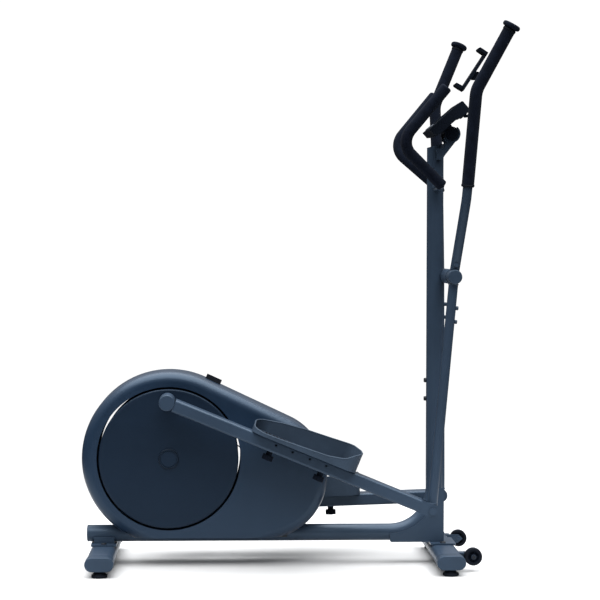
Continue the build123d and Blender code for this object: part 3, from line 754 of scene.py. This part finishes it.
def makeFixedBars():
    bars = []
    for sign in sides.values():
        points = [Vector((x, sign * y, z)) for x, y, z in fixedBar["points"]]
        bars.append(bead(roundedPath(points, fixedBar["bends"]), fixedBar["radius"], False, 8))
    pair = joinAll(bars)
    settle(pair, Matrix.Identity(4))
    complete(pair, "fixedBars", "frame", "frame_paint")
    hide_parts("fixed_bars")


# Console: a bezel round its face, stiffening ribs under it and a rim round each button
console = {"slope": 41, "low": -0.016, "high": 0.068, "half": 0.084, "corner": 0.006, "face": 0.055,
           "bezel": 0.0016, "buttonX": -0.033, "buttons": (-0.044, 0.0, 0.044), "rim": (0.0104, 0.0009)}
underRib = {"size": (0.0022, 0.150, 0.0050), "place": (0.056, 0, 0.019), "edge": 0.0007, "count": 4,
            "step": 0.0058}


def consoleFrame():
    # X runs up the console's slope from its hinge, Z is square to its face
    slope = math.radians(console["slope"])
    rise, run = math.sin(slope), math.cos(slope)
    return axesMatrix(jointPlace("console_tilt"), (run, 0, rise), (-rise, 0, run))


def makeConsole():
    place = consoleFrame()
    corner = console["corner"]
    low, high = console["low"] + corner, console["high"] - corner
    outline = roundedOutline(low, high, console["half"] - corner, corner, 6)
    bezel = bead([(x, y, console["face"]) for x, y in outline], console["bezel"], True)
    settle(bezel, place)
    complete(bezel, "consoleBezel", "console", "black_plastic")
    underside = softBlock(underRib["size"], underRib["place"], underRib["edge"])
    repeat(underside, underRib["count"], (underRib["step"], 0, 0))
    settle(underside, place)
    complete(underside, "consoleRibs", "console", "black_plastic")
    for count, y in enumerate(console["buttons"]):
        rim = turned(ringProfile(*console["rim"]), 40)
        settle(rim, place @ Matrix.Translation((console["buttonX"], y, console["face"])))
        complete(rim, "buttonRim_%d" % (count + 1), "console", "black_plastic")


makeWheels()
print("stage: wheels")
makeFootPlates()
print("stage: foot plates")
makeBolts()
makeCollars()
makeWelds()
makeFixedBars()
print("stage: bolts, collars, welds and fixed bars")
makeConsole()
print("stage: console")


# Angles in degrees, places in metres
studio = {"camera": (-0.2148, -5.45, 0.941), "turn": 2.395, "dip": 1.611, "roll": 0.112, "lens": 109.35,
          "backdrop": 1.05, "low": (0.05, 0.05), "high": (0.95, 2.0), "floor": 0.52, "fade": (1.15, 2.1),
          "sun": 7.0, "softness": 80, "lean": 8}


def makeWorld():
    # White behind the machine, and a light that grows from the horizon to the zenith
    world = bpy.data.worlds.new("studioAir")
    world.use_nodes = True
    bpy.context.scene.world = world
    tree = world.node_tree
    tree.nodes.clear()
    air = Wiring(tree)
    lowRise, lowLight = studio["low"]
    highRise, highLight = studio["high"]
    direction = air.node("ShaderNodeTexCoord", {}, {}, "Generated")
    rise = air.node("ShaderNodeSeparateXYZ", {}, {0: direction}, "Z")
    strength = air.spread(rise, lowRise, highRise, lowLight, highLight)
    light = air.node("ShaderNodeBackground", {}, {"Strength": strength})
    backdrop = air.node("ShaderNodeBackground", {}, {"Color": (1, 1, 1, 1), "Strength": studio["backdrop"]})
    seen = air.node("ShaderNodeLightPath", {}, {}, "Is Camera Ray")
    mix = air.node("ShaderNodeMixShader", {}, {0: seen, 1: light, 2: backdrop})
    out = tree.nodes.new("ShaderNodeOutputWorld")
    tree.links.new(mix.socket, out.inputs["Surface"])


def makeFloor():
    # A pale paper sheet that fades out round the machine
    clearSelection()
    bpy.ops.mesh.primitive_plane_add(size=60, location=(0, 0, -0.0005))
    floor = bpy.context.object
    floor.name = "studioFloor"
    pale = studio["floor"]
    finish = Finish("floorPaper", (pale,) * 3, 0.8)
    soft = finish.spread(finish.noise(3, 3), 0.3, 0.7)
    finish.feed("Base Color", finish.blend(soft, (pale - 0.01,) * 3, (pale,) * 3))
    across = finish.axis("X")
    along = finish.axis("Y")
    reach = (across * across + along * along).root()
    finish.feed("Alpha", 1 - finish.spread(reach, *studio["fade"]))
    floor.data.materials.append(finish.material)


def makeSun():
    # Wide soft light from nearly straight above
    data = bpy.data.lights.new("softTop", "SUN")
    data.energy = studio["sun"]
    data.angle = math.radians(studio["softness"])
    lamp = bpy.data.objects.new("softTop", data)
    lamp.rotation_euler = Euler((math.radians(studio["lean"]), 0, 0))
    bpy.context.scene.collection.objects.link(lamp)


def makeCamera():
    data = bpy.data.cameras.new("studioCamera")
    data.lens = studio["lens"]
    data.sensor_width = 36
    data.clip_end = 100
    camera = bpy.data.objects.new("studioCamera", data)
    aim = Euler((math.radians(90 - studio["dip"]), 0, -math.radians(studio["turn"])))
    roll = Matrix.Rotation(math.radians(studio["roll"]), 4, "Z")
    camera.matrix_world = Matrix.Translation(studio["camera"]) @ aim.to_matrix().to_4x4() @ roll
    bpy.context.scene.collection.objects.link(camera)
    bpy.context.scene.camera = camera


makeWorld()
makeFloor()
makeSun()
makeCamera()
bpy.context.scene.view_settings.view_transform = "Standard"
bpy.context.scene.view_settings.look = "None"
print("stage: light and camera")
